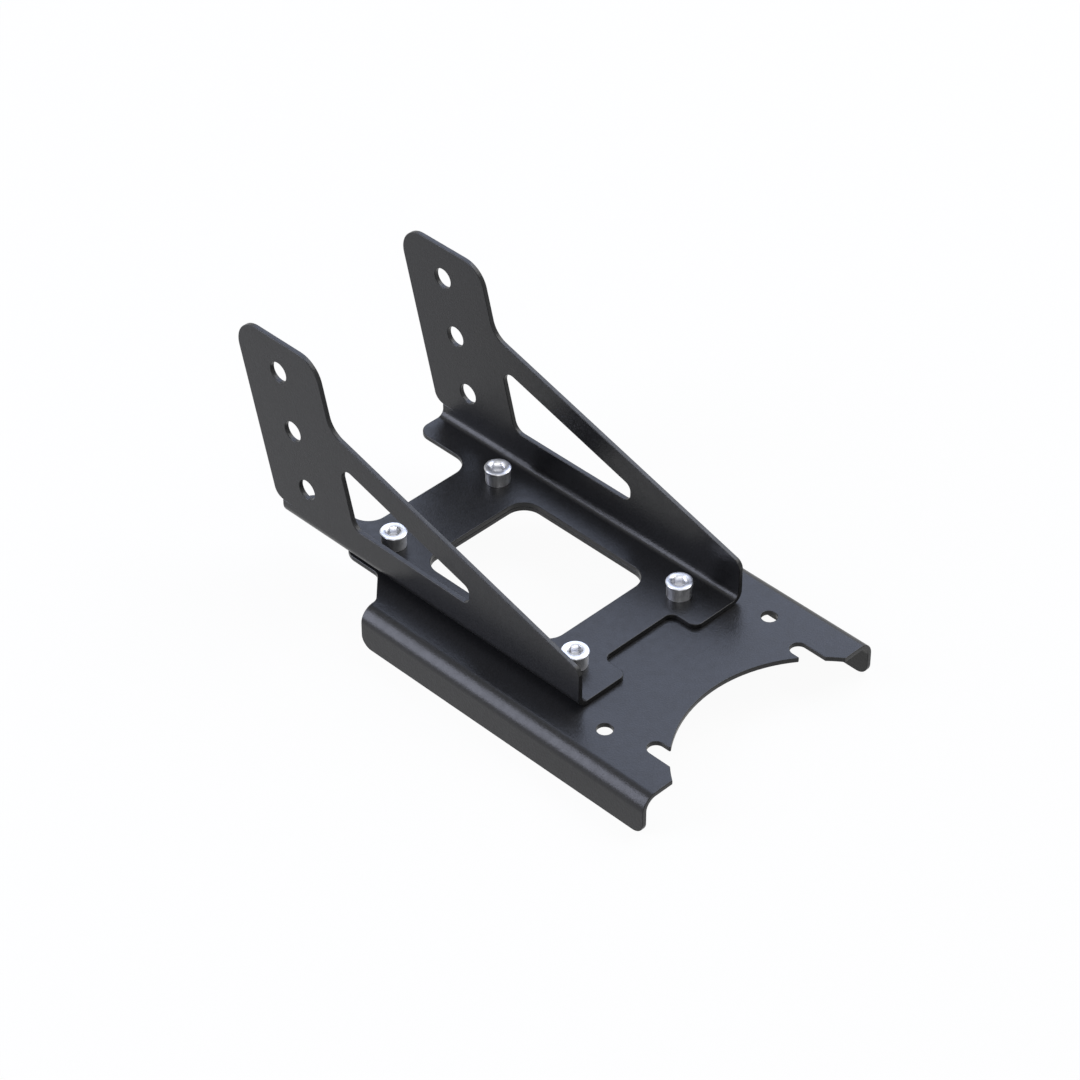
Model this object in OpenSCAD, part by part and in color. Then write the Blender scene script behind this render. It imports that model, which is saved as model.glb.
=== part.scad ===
// Desk mount adapter: two folded sheets bolted together.
// A base plate with two side flanges stands on the desk. On it sits a bracket
// folded to a U, whose two side plates carry a row of holes for a tilting load.
// X runs across the part, Y towards the back, Z up. The origin is under the
// middle of the screw pattern, on the plane that the flanges rest on.

/* [Sheet metal] */
// Thickness of both sheets
sheet_t = 2; // [1.5:0.1:2.5]

/* [Base plate] */
// Width over the two side flanges
base_w = 121; // [116:0.5:140]
// Height from the resting plane to the top face of the plate
base_h = 17; // [16:0.5:30]
// Inside radius of the flange bends
base_bend_r = 4.5; // [2:0.5:5]
// Distance from the pattern centre to the front edge
base_front = 113.7; // [112:0.1:130]
// Distance from the pattern centre to the rear end of the flanges
flange_rear = 30.7; // [25:0.1:40]
// Corner radius at the lower ends of the flanges
flange_corner_r = 5; // [2:0.5:7]
// Width of the tongue behind the flanges
tongue_w = 83.5; // [76:0.5:84]
// Distance from the pattern centre to the rear edge of the tongue
tongue_rear = 62.5; // [58:0.5:75]
// Corner radius at the end of the tongue
tongue_corner_r = 8; // [3:0.5:10]
// Sideways reach of the 45 degree flare from the tongue to the flanges
flare = 10.8; // [6:0.2:12]
// Fillet radius at the two ends of the flare
flare_fillet_r = 4; // [2:0.5:6]

/* [Base plate front] */
// Radius of the arc cut into the front edge
arc_r = 56.5; // [54:0.5:60]
// Distance from the pattern centre to the crest of the arc
arc_crest = 90.5; // [86:0.5:94]
// Spacing of the two open slots, between centres
slot_spacing = 75.2; // [72:0.2:80]
// Width of an open slot
slot_w = 6.8; // [6.2:0.1:8]
// Distance from the pattern centre to the closed end of a slot
slot_end = 94.8; // [92:0.2:98]
// Spacing of the two round holes behind the slots
front_hole_spacing = 86.7; // [80:0.1:92]
// Distance from the pattern centre to those two holes
front_hole_y = 78.4; // [74:0.2:82]
// Diameter of those two holes
front_hole_d = 6.1; // [5:0.1:8]

/* [Upper bracket] */
// Width over the two side plates
bracket_w = 86; // [84:0.5:92]
// Inside radius of the bracket bends
bracket_bend_r = 3; // [1:0.5:4]
// Height of the side plates above the upper face of the web
plate_h = 80.3; // [78:0.1:110]
// Distance from the pattern centre to the front edge of the side plates
bracket_front = 65; // [63:0.5:72]
// Distance from the pattern centre to the rear end of the web tabs
tab_rear = 92.5; // [90:0.5:93.5]
// Height of the bend relief under the rear of a side plate
relief_h = 5.2; // [4.5:0.1:7]

/* [Side plates] */
// Backward lean of the upright part of a side plate, in degrees
lean = 15; // [10:0.5:17]
// Width of the upright part, square to its edges
upright_w = 43.5; // [42:0.5:46]
// Distance from the pattern centre to the foot of the upright's rear edge
upright_foot = 94.5; // [94:0.5:99]
// Slope of the brace that runs down to the front, in degrees
brace_slope = 16; // [14:0.5:17]
// Height of the brace's upper edge above the web, at the pattern centre
brace_rise = 34.9; // [33.5:0.1:37]
// Width of the brace between its upper edge and the triangular window
brace_w = 10.7; // [9:0.1:12]
// Height of the lower edge of the triangular window above the web
triangle_floor = 13.5; // [12:0.5:15]
// Distance from the pattern centre to the blunt front end of the window
triangle_front = 9; // [4:0.5:10]
// Radius of the rear upper corner of a side plate
top_rear_r = 10; // [5:0.5:12]
// Radius of the front upper corner of a side plate
top_front_r = 11.5; // [6:0.1:13]
// Fillet radius where the upright meets the brace
brace_fillet_r = 10; // [5:0.5:14]

/* [Side holes] */
// Diameter of the holes in the side plates
side_hole_d = 8.5; // [6:0.1:10]
// Spacing of those holes along the upright
side_hole_pitch = 25; // [20:0.5:27]
// Height of the lowest hole above the web
side_hole_low = 17.6; // [14:0.1:20]
// Distance of the holes from the rear edge of the upright
side_hole_inset = 20.3; // [18:0.1:24]

/* [Window and recesses] */
// Width of the window through both sheets
window_w = 54; // [44:0.5:56]
// Length of the window through both sheets
window_l = 66.4; // [50:0.2:72]
// Corner radius of the window
window_r = 8; // [3:0.5:12]
// Width of the notch between the rear tabs of the web
notch_w = 54; // [48:0.2:60]
// Width of the recess between the front tabs of the web
recess_w = 36; // [26:0.5:38]
// Depth of the recess between the front tabs
recess_depth = 12.1; // [8:0.1:13]

/* [Screws] */
// Spacing of the four screws across the part
screw_spacing_x = 54.7; // [52:0.1:58]
// Spacing of the four screws along the part
screw_spacing_y = 95.6; // [92:0.2:96]
// Diameter of the clearance holes for the screws
screw_hole_d = 6.6; // [6.4:0.1:7]

/* [Hidden] */
$fn = 72;

// Colours of the three finishes
powder_black = [0.2, 0.2, 0.21];
bright_zinc = [0.8, 0.8, 0.82];
plain_zinc = [0.7, 0.7, 0.72];

// Heights of the stacked faces
web_top = base_h + sheet_t;
plate_under = base_h - sheet_t;
bracket_top = web_top + plate_h;

// How far a cut runs past the sheet that it goes through
past = 5;

// An arc beside a slanted edge is this much larger, so that it runs into the edge
// and does not stop just short of it
arc_ease = 0.001;

// Standard sizes of the six millimetre socket head screw and its nut
thread_d = 5.9;
screw_len = 12;
head_d = 10.5;
head_h = 6.5;
socket_w = 5;
socket_depth = 3.2;
head_edge = 0.5;
tip_edge = 0.8;
washer_d = 12;
washer_bore = 6.4;
washer_t = 1.6;
nut_w = 10;
nut_bore = 6;
nut_h = 5;
nut_edge = 0.6;
round_per_hex = 2 / sqrt(3);

// Corners of the upper bracket's plan
tab_corner_r = 5.5;
notch_floor_r = 8;
front_tab_r = 3.5;
recess_floor_r = 3.5;

// Radius that takes the edge off the two points between arc and slots
slot_tip_r = 0.5;

// Corners of the side plates
brace_end_r = 4;
upright_foot_r = 5;
triangle_top_r = 4;
triangle_foot_r = 5;
triangle_end_r = 3.4;
triangle_inset = 0.6;

// Lines of the side plates: where each edge is at a height or a distance
function rear_edge_y(z) = upright_foot + tan(lean) * (z - web_top);
function front_edge_y(z) = rear_edge_y(z) - upright_w / cos(lean);
function brace_z(y) = web_top + brace_rise + tan(brace_slope) * y;
function brace_under_z(y) = brace_z(y) - brace_w / cos(brace_slope);

// Height at which a line that slopes like the brace, and is at height z_middle
// over the pattern centre, meets a line that leans like the upright from y_foot
function crossing_z(z_middle, y_foot) =
    let (both = tan(brace_slope) * tan(lean))
    (z_middle + tan(brace_slope) * y_foot - both * web_top) / (1 - both);

// Direction from one point to another
function heading(from, to) = (to - from) / norm(to - from);

// Geometry of one rounded corner of an outline, taken counter-clockwise.
// Each corner is [x, y, radius].
function xy(corner) = [corner[0], corner[1]];
function before(outline, i) = xy(outline[(i + len(outline) - 1) % len(outline)]);
function after(outline, i) = xy(outline[(i + 1) % len(outline)]);
function half_angle(outline, i) =
    acos(heading(xy(outline[i]), before(outline, i)) * heading(xy(outline[i]), after(outline, i))) / 2;
function reach(outline, i) = outline[i][2] / tan(half_angle(outline, i));
function arc_start(outline, i) =
    xy(outline[i]) + reach(outline, i) * heading(xy(outline[i]), before(outline, i));
function arc_finish(outline, i) =
    xy(outline[i]) + reach(outline, i) * heading(xy(outline[i]), after(outline, i));
function arc_centre(outline, i) =
    let (middle = (arc_start(outline, i) + arc_finish(outline, i)) / 2)
    xy(outline[i]) + heading(xy(outline[i]), middle) * outline[i][2] / sin(half_angle(outline, i));
function turns_left(outline, i) =
    cross(xy(outline[i]) - before(outline, i), after(outline, i) - xy(outline[i])) > 0;

// A flat shape with true arcs at its corners, each larger by ease
module rounded_outline(outline, ease = 0) {
    count = len(outline);
    cut_corners = [for (i = [0 : count - 1])
        each outline[i][2] > 0 ? [arc_start(outline, i), arc_finish(outline, i)] : [xy(outline[i])]];
    difference() {
        union() {
            polygon(cut_corners);
            for (i = [0 : count - 1])
                if (outline[i][2] > 0 && turns_left(outline, i))
                    translate(arc_centre(outline, i)) circle(r = outline[i][2] + ease);
        }
        for (i = [0 : count - 1])
            if (outline[i][2] > 0 && !turns_left(outline, i))
                translate(arc_centre(outline, i)) circle(r = outline[i][2] + ease);
    }
}

// A rectangle round the centre, with rounded corners
module rounded_rectangle(w, l, r) {
    rounded_outline([[-w / 2, -l / 2, r], [w / 2, -l / 2, r], [w / 2, l / 2, r], [-w / 2, l / 2, r]]);
}

// Stand a flat (y, z) shape up and spread it over the width w
module across(w) {
    translate([-w / 2, 0, 0]) rotate([90, 0, 90]) linear_extrude(w) children();
}

// Spread a flat (x, z) shape from y0 to y1
module along(y0, y1) {
    translate([0, y1, 0]) rotate([90, 0, 0]) linear_extrude(y1 - y0) children();
}

// Cut a flat (x, y) shape down through the heights z0 to z1
module down(z0, z1) {
    translate([0, 0, z0]) linear_extrude(z1 - z0) children();
}

// Put the children at both sides of the part
module both_sides() {
    children();
    mirror([1, 0, 0]) children();
}

// The four screw places
module at_screws() {
    for (x = [-1, 1])
        for (y = [-1, 1])
            translate([x * screw_spacing_x / 2, y * screw_spacing_y / 2, 0]) children();
}

// The window that goes through both sheets, with the screw holes
module shared_cuts() {
    down(plate_under - past, web_top + past) rounded_rectangle(window_w, window_l, window_r);
    at_screws() translate([0, 0, plate_under - past]) cylinder(d = screw_hole_d, h = 2 * sheet_t + 2 * past);
}

// Section of the base plate: a channel open below
module base_section() {
    outer_r = base_bend_r + sheet_t;
    inner = base_w / 2 - sheet_t;
    difference() {
        rounded_outline([[-base_w / 2, 0, 0], [base_w / 2, 0, 0],
            [base_w / 2, base_h, outer_r], [-base_w / 2, base_h, outer_r]]);
        rounded_outline([[-inner, -past, 0], [inner, -past, 0],
            [inner, plate_under, base_bend_r], [-inner, plate_under, base_bend_r]]);
    }
}

// Plan of the base plate: flanged front part, flare and tongue
module base_plan() {
    side = base_w / 2 + past;
    tongue = tongue_w / 2;
    rounded_outline([
        [-side, -base_front, 0],
        [side, -base_front, 0],
        [side, flange_rear, 0],
        [tongue + flare, flange_rear, flare_fillet_r],
        [tongue, flange_rear + flare, flare_fillet_r],
        [tongue, tongue_rear, tongue_corner_r],
        [-tongue, tongue_rear, tongue_corner_r],
        [-tongue, flange_rear + flare, flare_fillet_r],
        [-tongue - flare, flange_rear, flare_fillet_r],
        [-side, flange_rear, 0]], arc_ease);
}

// Side view of the base plate: its flanges end in rounded lower corners
module base_side_view() {
    rounded_outline([
        [-base_front, 0, flange_corner_r],
        [flange_rear, 0, flange_corner_r],
        [flange_rear, plate_under - past / 2, 0],
        [tongue_rear + past, plate_under - past / 2, 0],
        [tongue_rear + past, base_h + past, 0],
        [-base_front, base_h + past, 0]]);
}

// The waste outside the rounded point between the arc and the right slot
module slot_tip_waste(wall_x, arc_y) {
    centre = [wall_x - slot_tip_r, arc_y + sqrt((arc_r + slot_tip_r) ^ 2 - (wall_x - slot_tip_r) ^ 2)];
    on_arc = centre + slot_tip_r * heading(centre, [0, arc_y]);
    difference() {
        polygon([[wall_x, centre[1]], on_arc, [wall_x, centre[1] - past]]);
        translate(centre) circle(r = slot_tip_r);
    }
}

// The arc cut into the front edge, with the two slots that open into it
module base_front_cuts() {
    arc_y = -arc_crest - arc_r;
    down(plate_under - past, base_h + past) {
        translate([0, arc_y]) circle(r = arc_r, $fn = 180);
        both_sides() {
            translate([slot_spacing / 2, -slot_end - slot_w / 2]) circle(d = slot_w);
            translate([slot_spacing / 2 - slot_w / 2, -base_front - past])
                square([slot_w, base_front + past - slot_end - slot_w / 2]);
            slot_tip_waste(slot_spacing / 2 - slot_w / 2, arc_y);
        }
    }
}

module base_plate() {
    color(powder_black)
    difference() {
        intersection() {
            along(-base_front - past, tongue_rear + past) base_section();
            across(base_w + 2 * past) base_side_view();
            down(-past, base_h + past) base_plan();
        }
        shared_cuts();
        base_front_cuts();
        both_sides() translate([front_hole_spacing / 2, -front_hole_y, plate_under - past])
            cylinder(d = front_hole_d, h = sheet_t + 2 * past);
    }
}

// Section of the upper bracket: a channel open above
module bracket_section() {
    outer_r = bracket_bend_r + sheet_t;
    inner = bracket_w / 2 - sheet_t;
    difference() {
        rounded_outline([[-bracket_w / 2, base_h, outer_r], [bracket_w / 2, base_h, outer_r],
            [bracket_w / 2, bracket_top + past, 0], [-bracket_w / 2, bracket_top + past, 0]]);
        rounded_outline([[-inner, web_top, bracket_bend_r], [inner, web_top, bracket_bend_r],
            [inner, bracket_top + 2 * past, 0], [-inner, bracket_top + 2 * past, 0]]);
    }
}

// Side view of the upper bracket: brace in front, upright leaning back behind
module bracket_side_view() {
    knee_z = crossing_z(brace_z(0), front_edge_y(web_top));
    rounded_outline([
        [-bracket_front, base_h, 0],
        [tab_rear, base_h, 0],
        [tab_rear, web_top + relief_h, 0],
        [rear_edge_y(web_top + relief_h), web_top + relief_h, upright_foot_r],
        [rear_edge_y(bracket_top), bracket_top, top_rear_r],
        [front_edge_y(bracket_top), bracket_top, top_front_r],
        [front_edge_y(knee_z), knee_z, brace_fillet_r],
        [-bracket_front, brace_z(-bracket_front), brace_end_r]], arc_ease);
}

// The triangular window of a side plate, blunt at its front end
module triangle_window() {
    floor_z = web_top + triangle_floor;
    peak_z = crossing_z(brace_under_z(0), front_edge_y(web_top) - triangle_inset);
    rounded_outline([
        [-triangle_front, floor_z, triangle_end_r],
        [front_edge_y(floor_z) - triangle_inset, floor_z, triangle_foot_r],
        [front_edge_y(peak_z) - triangle_inset, peak_z, triangle_top_r],
        [-triangle_front, brace_under_z(-triangle_front), triangle_end_r]], arc_ease);
}

// The row of three holes through both side plates
module side_holes() {
    foot = [rear_edge_y(web_top) - side_hole_inset / cos(lean), web_top];
    for (i = [0 : 2]) {
        up = side_hole_low + i * side_hole_pitch * cos(lean);
        translate([foot[0] + tan(lean) * up, foot[1] + up]) circle(d = side_hole_d);
    }
}

// A notch from floor_y to mouth_y, open towards the back, its mouth corners rounded too
module open_notch(w, floor_y, mouth_y, floor_r, mouth_r) {
    side = w / 2;
    wide = side + mouth_r + past / 5;
    rounded_outline([
        [-side, floor_y, floor_r], [side, floor_y, floor_r],
        [side, mouth_y, mouth_r], [wide, mouth_y, 0],
        [wide, mouth_y + past, 0], [-wide, mouth_y + past, 0],
        [-wide, mouth_y, 0], [-side, mouth_y, mouth_r]]);
}

// Plan cuts of the web: the notch behind and the recess in front
module web_cuts() {
    down(base_h - past, web_top + past) {
        open_notch(notch_w, tongue_rear, tab_rear, notch_floor_r, tab_corner_r);
        mirror([0, 1, 0])
            open_notch(recess_w, bracket_front - recess_depth, bracket_front, recess_floor_r, front_tab_r);
    }
}

module upper_bracket() {
    color(powder_black)
    difference() {
        intersection() {
            along(-bracket_front - past, rear_edge_y(bracket_top) + past) bracket_section();
            across(bracket_w + 2 * past) bracket_side_view();
        }
        across(bracket_w + 2 * past) triangle_window();
        across(bracket_w + 2 * past) side_holes();
        web_cuts();
        shared_cuts();
    }
}

// A socket head cap screw, its head resting on the web
module screw() {
    head_r = head_d / 2;
    shank_r = thread_d / 2;
    color(bright_zinc)
    translate([0, 0, web_top])
    difference() {
        rotate_extrude()
            polygon([[0, -screw_len], [shank_r - tip_edge, -screw_len], [shank_r, tip_edge - screw_len],
                [shank_r, 0], [head_r, 0], [head_r, head_h - head_edge],
                [head_r - head_edge, head_h], [0, head_h]]);
        translate([0, 0, head_h - socket_depth])
            cylinder(d = socket_w * round_per_hex, h = socket_depth + past, $fn = 6);
    }
}

// A plain washer under the base plate
module washer() {
    color(plain_zinc)
    translate([0, 0, plate_under - washer_t])
    difference() {
        cylinder(d = washer_d, h = washer_t);
        translate([0, 0, -past]) cylinder(d = washer_bore, h = washer_t + 2 * past);
    }
}

// A hexagon nut under the washer, its corners turned off at both ends
module nut() {
    corner_r = nut_w * round_per_hex / 2;
    flat_r = nut_w / 2;
    color(plain_zinc)
    translate([0, 0, plate_under - washer_t - nut_h])
    difference() {
        intersection() {
            cylinder(r = corner_r, h = nut_h, $fn = 6);
            rotate_extrude()
                polygon([[0, 0], [flat_r, 0], [flat_r + nut_edge, nut_edge / 2],
                    [flat_r + nut_edge, nut_h - nut_edge / 2], [flat_r, nut_h], [0, nut_h]]);
        }
        translate([0, 0, -past]) cylinder(d = nut_bore, h = nut_h + 2 * past);
    }
}

// One fastener at one of the four screw places
module at_screw(x_side, y_side) {
    translate([x_side * screw_spacing_x / 2, y_side * screw_spacing_y / 2, 0]) children();
}

base_plate();
upper_bracket();
at_screw(-1, -1) screw();  // screw_front_left
at_screw(1, -1) screw();  // screw_front_right
at_screw(-1, 1) screw();  // screw_rear_left
at_screw(1, 1) screw();  // screw_rear_right
at_screw(-1, -1) washer();  // washer_front_left
at_screw(1, -1) washer();  // washer_front_right
at_screw(-1, 1) washer();  // washer_rear_left
at_screw(1, 1) washer();  // washer_rear_right
at_screw(-1, -1) nut();  // nut_front_left
at_screw(1, -1) nut();  // nut_front_right
at_screw(-1, 1) nut();  // nut_rear_left
at_screw(1, 1) nut();  // nut_rear_right
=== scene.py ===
"""Looks of the desk mount adapter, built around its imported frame.

Two folded sheets with a fine black powder coat stand on a pale floor, held
together by four zinc plated cap screws with washers and nuts. Sizes are in
millimetres in the classes below and become metres when a mesh is made.
"""
import logging
import math
from collections.abc import Sequence
from dataclasses import dataclass, field
from enum import Enum

import bpy
from mathutils import Matrix, Vector
from mathutils.geometry import delaunay_2d_cdt


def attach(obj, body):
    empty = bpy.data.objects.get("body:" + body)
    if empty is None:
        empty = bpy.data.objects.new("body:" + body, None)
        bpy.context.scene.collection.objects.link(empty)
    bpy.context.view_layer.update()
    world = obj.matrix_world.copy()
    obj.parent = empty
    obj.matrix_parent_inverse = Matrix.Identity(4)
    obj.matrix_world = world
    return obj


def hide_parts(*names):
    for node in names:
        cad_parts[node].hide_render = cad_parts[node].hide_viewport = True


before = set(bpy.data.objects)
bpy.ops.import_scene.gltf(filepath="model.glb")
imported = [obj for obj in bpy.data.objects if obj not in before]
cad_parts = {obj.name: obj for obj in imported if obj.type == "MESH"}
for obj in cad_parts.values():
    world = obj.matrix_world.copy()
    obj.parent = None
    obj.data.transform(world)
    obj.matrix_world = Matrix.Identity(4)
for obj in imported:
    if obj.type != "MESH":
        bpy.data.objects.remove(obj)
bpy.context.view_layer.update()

LOG = logging.getLogger("desk_mount_adapter")
MM = 0.001  # metres in a millimetre
QUARTER = math.pi / 2
ARC_STEP = math.radians(6)  # largest turn from one point of an arc to the next
HOLE_STEPS = 48  # points round a hole
RIM_STEPS = 3  # faces across the round of a cut edge
BEND_STRIPS = 14  # faces across a bend
EDGE_STEPS = 4  # steps of a fastener's rounded edge
NO_FLATS = 1e-6  # a row of a fastener with less than this to its flats is round, in m
SEAM = 2e-6  # points of a fastener that are nearer become one, in m
HARD_TURN = math.radians(25)  # a rim that turns more than this has a sharp corner
HARD_FOLD = math.radians(32)  # faces of a fastener that meet at more keep a sharp edge
ON_LINE = 1e-5  # a point this near to a bend line lies on it, in mm
CROSSED = 1e-9  # an edge crosses a line when its ends' distances multiply to less, in mm2
SAME_SPOT = 1e-7  # points of a cut sheet that are nearer are one, in mm
INSIDE_ONLY = 1  # delaunay_2d_cdt keeps what lies inside the outer rim
NOISE_LOW, NOISE_HIGH = 0.3, 0.7  # nearly all of a noise texture lies between these
WHITE = "#ffffff"

Point = tuple[float, float]
Corner = tuple[float, float, float]
Ring = list[Point]


class Fold(Enum):
    """Which way a press brake turns the two sides of a sheet."""

    UP = 1.0
    DOWN = -1.0


class Slot(Enum):
    """Material slots of the record."""

    COAT = "powder_coat_black"
    BRIGHT = "zinc_bright"
    PLAIN = "zinc_plain"


def linear(colour: str) -> tuple[float, float, float, float]:
    """Turn an sRGB hex colour into linear values.

    Args:
        colour: Six hex digits after a hash sign.

    Returns:
        Linear red, green and blue, and an alpha of one.
    """
    values = [int(colour[i:i + 2], 16) / 255 for i in (1, 3, 5)]
    red, green, blue = (v / 12.92 if v <= 0.04045 else ((v + 0.055) / 1.055) ** 2.4 for v in values)
    return (red, green, blue, 1.0)


def add_node(
        tree: bpy.types.NodeTree, kind: str, inputs: dict | None = None, **settings,
        ) -> bpy.types.Node:
    """Add one node with its settings and links.

    Args:
        tree: Tree that takes the node.
        kind: Node type.
        inputs: Input name or index, each with a value or the socket that feeds it.
        **settings: Properties of the node.

    Returns:
        The new node.
    """
    node = tree.nodes.new(kind)
    for name, value in settings.items():
        setattr(node, name, value)
    for key, value in (inputs or {}).items():
        if isinstance(value, bpy.types.NodeSocket):
            tree.links.new(value, node.inputs[key])
        else:
            node.inputs[key].default_value = value
    return node


def new_material(name: str) -> tuple[bpy.types.Material, bpy.types.NodeTree]:
    """Make a material whose tree is still empty.

    Args:
        name: Name of the material.

    Returns:
        The material and its tree.
    """
    material = bpy.data.materials.new(name)
    material.use_nodes = True
    material.node_tree.nodes.clear()
    return material, material.node_tree


# ---- flat shapes ----


def rounded(corners: Sequence[Corner]) -> Ring:
    """Round the corners of a closed outline.

    Args:
        corners: Corners as x, y and radius, in order round the outline.

    Returns:
        Points along the outline, with arcs at the corners.
    """
    ring: Ring = []
    count = len(corners)
    for i, (x, y, radius) in enumerate(corners):
        corner = Vector((x, y))
        if radius <= 0:
            ring.append((x, y))
            continue
        back = (Vector(corners[i - 1][:2]) - corner).normalized()
        ahead = (Vector(corners[(i + 1) % count][:2]) - corner).normalized()
        half = back.angle(ahead) / 2
        centre = corner + (back + ahead).normalized() * radius / math.sin(half)
        start = corner + back * radius / math.tan(half) - centre
        sweep = math.copysign(math.pi - 2 * half, back.cross(ahead) * -1)
        first = math.atan2(start.y, start.x)
        steps = max(2, math.ceil(abs(sweep) / ARC_STEP))
        ring += [
            (centre.x + radius * math.cos(first + sweep * k / steps),
             centre.y + radius * math.sin(first + sweep * k / steps))
            for k in range(steps + 1)
        ]
    return ring


def round_hole(x: float, y: float, radius: float) -> Ring:
    """Give a round hole's points, clockwise, so that the sheet lies at their left."""
    angles = [-math.tau * k / HOLE_STEPS for k in range(HOLE_STEPS)]
    return [(x + radius * math.cos(a), y + radius * math.sin(a)) for a in angles]


def mirrored(ring: Ring) -> Ring:
    """Mirror a ring to the other side of the sheet and keep its sense."""
    return [(-x, y) for x, y in reversed(ring)]


def inset(ring: Ring, depth: float) -> Ring:
    """Move a ring into the sheet by depth.

    Args:
        ring: Points with the sheet at their left.
        depth: Distance between the old and the new edge.

    Returns:
        As many points, each moved along its mitre.
    """
    moved: Ring = []
    for i, (x, y) in enumerate(ring):
        before, after = Vector(ring[i - 1]), Vector(ring[(i + 1) % len(ring)])
        here = Vector((x, y))
        one, two = (here - before).normalized(), (after - here).normalized()
        normal_one, normal_two = Vector((-one.y, one.x)), Vector((-two.y, two.x))
        mitre = (normal_one + normal_two) / (1 + normal_one.dot(normal_two))
        moved.append((x + mitre.x * depth, y + mitre.y * depth))
    return moved


def with_crossings(ring: Ring, lines: Sequence[float]) -> Ring:
    """Add a point to a ring wherever it crosses one of the lines x = constant.

    Args:
        ring: Points of a closed outline.
        lines: Places of the lines across the sheet.

    Returns:
        The same outline with more points.
    """
    result: Ring = []
    for i, (x0, y0) in enumerate(ring):
        x1, y1 = ring[(i + 1) % len(ring)]
        result.append((x0, y0))
        shares = sorted(
            (line - x0) / (x1 - x0) for line in lines if (line - x0) * (line - x1) < -CROSSED)
        result += [(x0 + (x1 - x0) * s, y0 + (y1 - y0) * s) for s in shares]
    return result


def encloses(ring: Ring, spot: Vector) -> bool:
    """Tell whether a spot lies inside a ring.

    Args:
        ring: Points round an area.
        spot: Point to look for.

    Returns:
        True where a ray from the spot crosses the ring an odd number of times.
    """
    inside = False
    for (x0, y0), (x1, y1) in zip(ring, ring[1:] + ring[:1]):
        level = (y0 > spot.y) != (y1 > spot.y)
        if level and spot.x < x0 + (x1 - x0) * (spot.y - y0) / (y1 - y0):
            inside = not inside
    return inside


# ---- finishes ----


@dataclass(frozen=True)
class PowderCoat:
    """Fine-textured black powder coat on steel, sprayed and baked.

    It gives the eye a charcoal black with a soft satin sheen. Light runs along
    the bends in broad bands, and a fine sandy grain breaks up every reflection.
    """

    colour: str = "#0d0d0e"
    fleck: str = "#1f1f20"
    roughness: float = 0.32
    dulling: Point = (-0.03, 0.04)
    sheen: float = 0.3
    grain_mm: float = 0.8  # width of a grain, as coarse as it needs to show
    grain_height_mm: float = 0.065
    ripple_mm: float = 3.0
    ripple_height_mm: float = 0.02

    def material(self, name: str) -> bpy.types.Material:
        """Build the material.

        Args:
            name: Name of the material.

        Returns:
            The material.
        """
        material, tree = new_material(name)
        place = add_node(tree, "ShaderNodeTexCoord").outputs["Object"]
        grain = add_node(tree, "ShaderNodeTexNoise", {
            "Vector": place, "Scale": 1 / (self.grain_mm * MM), "Detail": 2.0, "Roughness": 0.6})
        ripple = add_node(tree, "ShaderNodeTexNoise", {
            "Vector": place, "Scale": 1 / (self.ripple_mm * MM), "Detail": 1.0})
        fleck = add_node(tree, "ShaderNodeMix", {
            "Factor": grain.outputs["Fac"], "A": linear(self.colour), "B": linear(self.fleck)},
            data_type="RGBA")
        gloss = add_node(tree, "ShaderNodeMapRange", {
            "Value": ripple.outputs["Fac"], "From Min": NOISE_LOW, "From Max": NOISE_HIGH,
            "To Min": self.roughness + self.dulling[0], "To Max": self.roughness + self.dulling[1]})
        soft = add_node(tree, "ShaderNodeBump", {
            "Height": ripple.outputs["Fac"], "Strength": 1.0,
            "Distance": self.ripple_height_mm * MM})
        fine = add_node(tree, "ShaderNodeBump", {
            "Height": grain.outputs["Fac"], "Normal": soft.outputs["Normal"],
            "Strength": 1.0, "Distance": self.grain_height_mm * MM})
        shader = add_node(tree, "ShaderNodeBsdfPrincipled", {
            "Base Color": fleck.outputs["Result"], "Roughness": gloss.outputs["Result"],
            "Normal": fine.outputs["Normal"], "IOR": 1.5, "Specular IOR Level": self.sheen})
        add_node(tree, "ShaderNodeOutputMaterial", {"Surface": shader.outputs["BSDF"]})
        return material


@dataclass(frozen=True)
class ZincPlate:
    """Electroplated zinc on turned or cold-headed steel.

    It gives the eye a light, slightly cold metal with a faint cloudiness from
    the plating bath. The turning marks under the zinc run round the axis, so
    every reflection is drawn out along the height of the screw.
    """

    colour: str = "#d6d7da"
    cloud: str = "#c2c3c8"
    roughness: float = 0.34
    dulling: Point = (-0.04, 0.06)
    turned: float = 0.82
    cloud_mm: float = 2.5

    def material(self, name: str) -> bpy.types.Material:
        """Build the material.

        Args:
            name: Name of the material.

        Returns:
            The material.
        """
        material, tree = new_material(name)
        place = add_node(tree, "ShaderNodeTexCoord").outputs["Object"]
        cloud = add_node(tree, "ShaderNodeTexNoise", {
            "Vector": place, "Scale": 1 / (self.cloud_mm * MM), "Detail": 3.0})
        tint = add_node(tree, "ShaderNodeMix", {
            "Factor": cloud.outputs["Fac"], "A": linear(self.colour), "B": linear(self.cloud)},
            data_type="RGBA")
        gloss = add_node(tree, "ShaderNodeMapRange", {
            "Value": cloud.outputs["Fac"], "From Min": NOISE_LOW, "From Max": NOISE_HIGH,
            "To Min": self.roughness + self.dulling[0], "To Max": self.roughness + self.dulling[1]})
        marks = add_node(tree, "ShaderNodeTangent", direction_type="RADIAL", axis="Z")
        shader = add_node(tree, "ShaderNodeBsdfPrincipled", {
            "Base Color": tint.outputs["Result"], "Roughness": gloss.outputs["Result"],
            "Metallic": 1.0, "Anisotropic": self.turned, "Anisotropic Rotation": 0.25,
            "Tangent": marks.outputs[0]})
        add_node(tree, "ShaderNodeOutputMaterial", {"Surface": shader.outputs["BSDF"]})
        return material


# ---- shaping trees ----


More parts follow.
